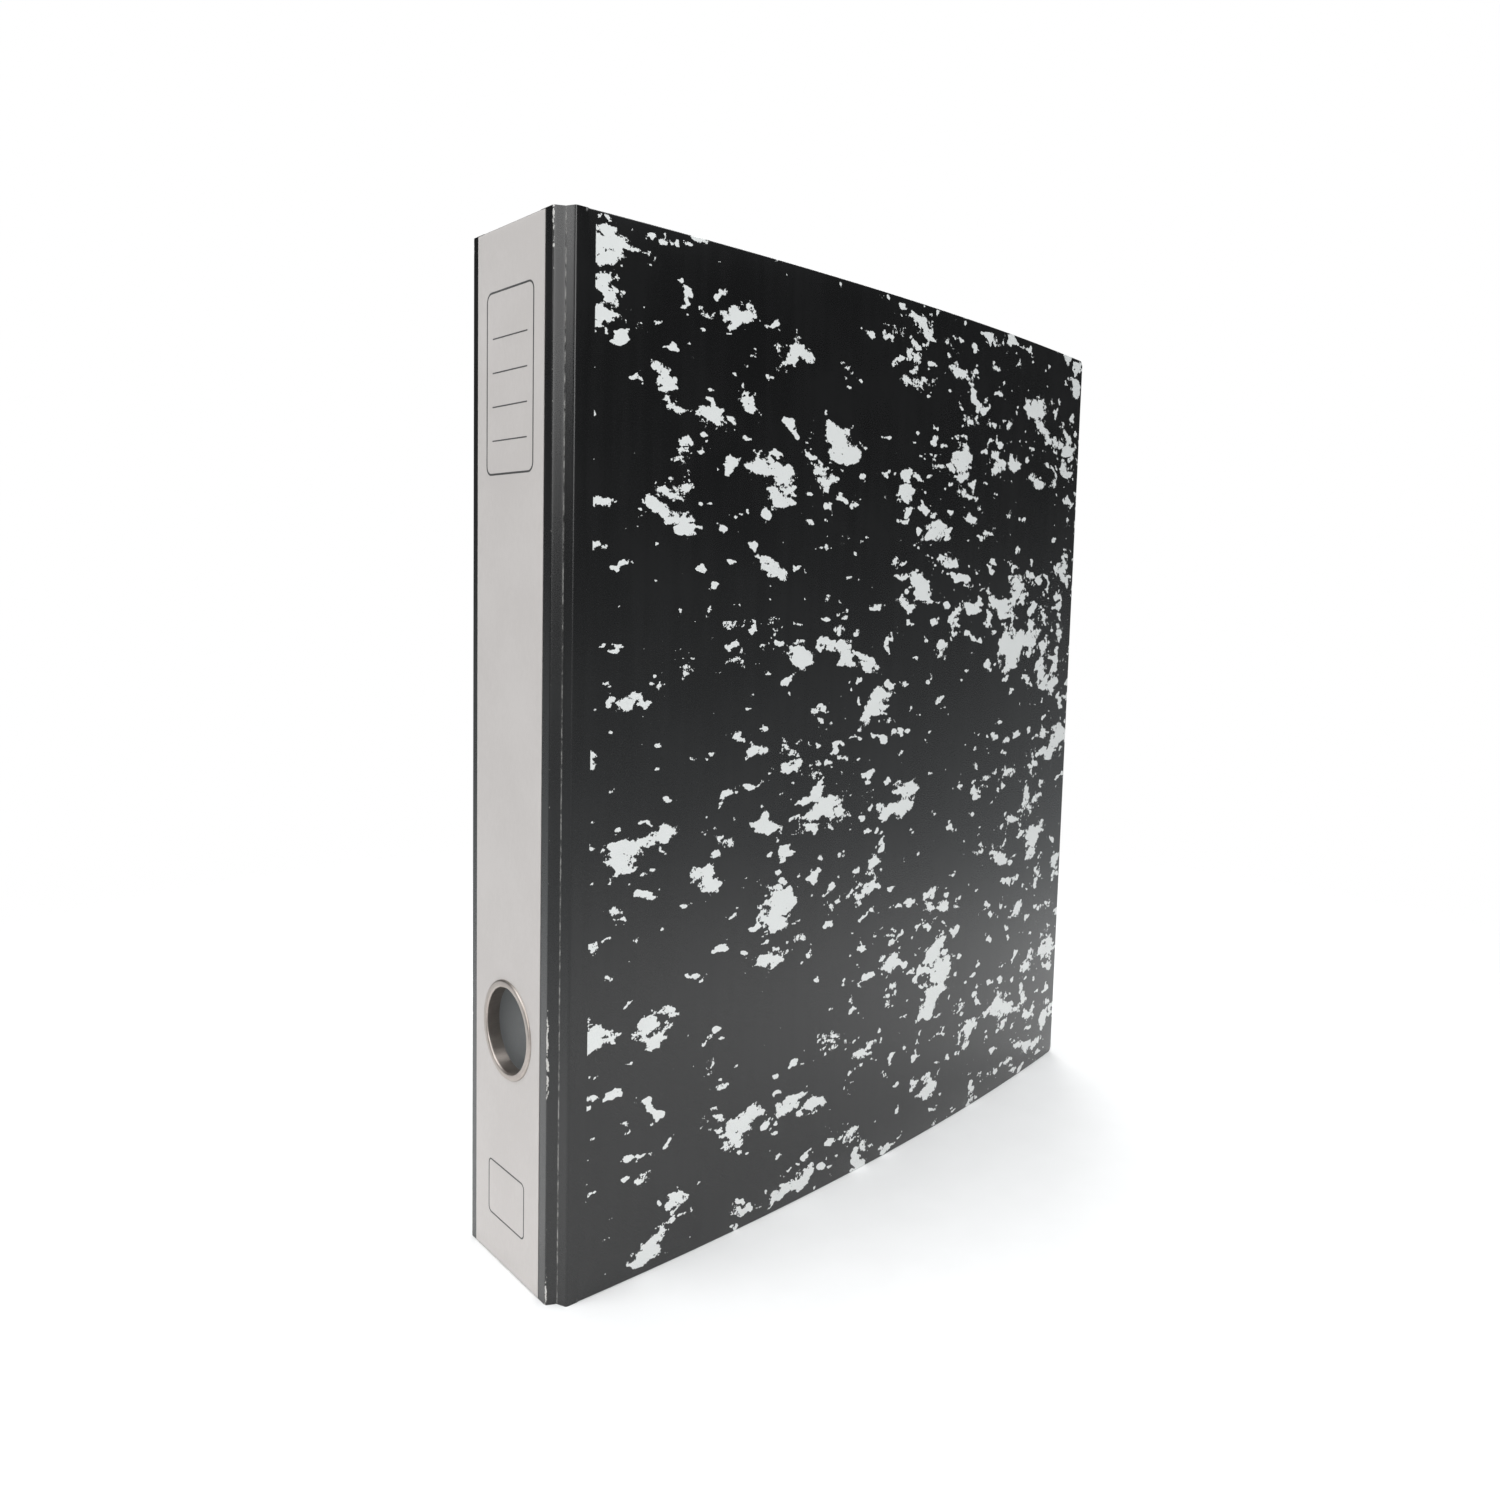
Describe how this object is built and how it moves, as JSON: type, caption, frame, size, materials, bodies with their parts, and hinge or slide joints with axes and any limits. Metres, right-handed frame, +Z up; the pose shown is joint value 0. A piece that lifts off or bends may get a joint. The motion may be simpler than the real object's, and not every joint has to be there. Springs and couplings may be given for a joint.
{
  "type": "lever arch file",
  "caption": "Upright A4 lever arch file: wrapped board covers and spine with a finger ring, and a riveted two-arch mechanism with lever, roller and compressor bar.",
  "frame": {"origin": "centre of the bounding box at its bottom: the table under the middle of the file", "axes": "+Z up along the spine's height, -Y the way the spine faces, +X from the back cover to the front cover"},
  "size_m": [0.06, 0.2808, 0.318],
  "materials": {
    "greyboard": "raw grey fibre board",
    "printed_paper": "black satin wrap with a ragged white marbled print",
    "lining_paper": "matt pale grey lining",
    "label_paper": "smooth light warm grey",
    "ring_metal": "satin nickel",
    "plated_steel": "nickel plated sheet",
    "bright_steel": "bright nickel plated wire and rod",
    "spring_steel": "blued spring steel",
    "rivet_metal": "dull nickel",
    "roller_plastic": "black nylon",
    "bush_plastic": "black nylon"
  },
  "bodies": {
    "back_cover": {"back_board": "greyboard", "back_cover_paper": "printed_paper", "back_lining": "lining_paper", "back_hinge_strip": "printed_paper", "base_plate": "plated_steel", "mechanism_rivets": "rivet_metal", "post_upper": "bright_steel", "post_lower": "bright_steel", "lever_pivot_pin": "rivet_metal", "leaf_spring": "spring_steel", "spring_rivets": "rivet_metal"},
    "spine": {"spine_board": "greyboard", "spine_paper": "printed_paper", "spine_label": "label_paper", "spine_lining": "lining_paper", "finger_ring_outer": "ring_metal", "finger_ring_inner": "ring_metal", "front_hinge_strip": "printed_paper"},
    "front_cover": {"front_board": "greyboard", "front_cover_paper": "printed_paper", "front_lining": "lining_paper"},
    "lever": {"lever": "plated_steel", "roller_axle": "rivet_metal"},
    "roller": {"roller": "roller_plastic"},
    "arches": {"arch_wire": "bright_steel"},
    "compressor": {"compressor_bar": "plated_steel", "compressor_bush_upper": "bush_plastic", "compressor_bush_lower": "bush_plastic"}
  },
  "joints": [
    {"name": "back_hinge", "type": "hinge", "parent": "back_cover", "child": "spine", "pos_m": [-0.0262, -0.1366, 0.159], "axis": [0, 0, -1], "range_deg": [0, 90], "deforming": ["back_hinge_strip"]},
    {"name": "front_hinge", "type": "hinge", "parent": "spine", "child": "front_cover", "pos_m": [0.0268, -0.1366, 0.159], "axis": [0, 0, -1], "range_deg": [0, 110], "deforming": ["front_hinge_strip"]},
    {"name": "lever_lift", "type": "hinge", "parent": "back_cover", "child": "lever", "pos_m": [-0.0068, -0.0786, 0.159], "axis": [0, 0, 1], "range_deg": [0, 100]},
    {"name": "arch_swing", "type": "hinge", "parent": "back_cover", "child": "arches", "pos_m": [-0.0228, -0.1016, 0.159], "axis": [0, 0, -1], "range_deg": [0, 50], "deforming": ["leaf_spring"]},
    {"name": "roller_spin", "type": "hinge", "parent": "lever", "child": "roller", "pos_m": [-0.01714, -0.08236, 0.159], "axis": [0, 0, 1], "continuous": true},
    {"name": "compressor_slide", "type": "slide", "parent": "back_cover", "child": "compressor", "axis": [1, 0, 0], "range_m": [0, 0.017]}
  ],
  "couplings": [
    {"joint": "lever_lift", "follows": "front_hinge", "ratio": 0.90909},
    {"joint": "arch_swing", "follows": "front_hinge", "ratio": 0.45454}
  ]
}
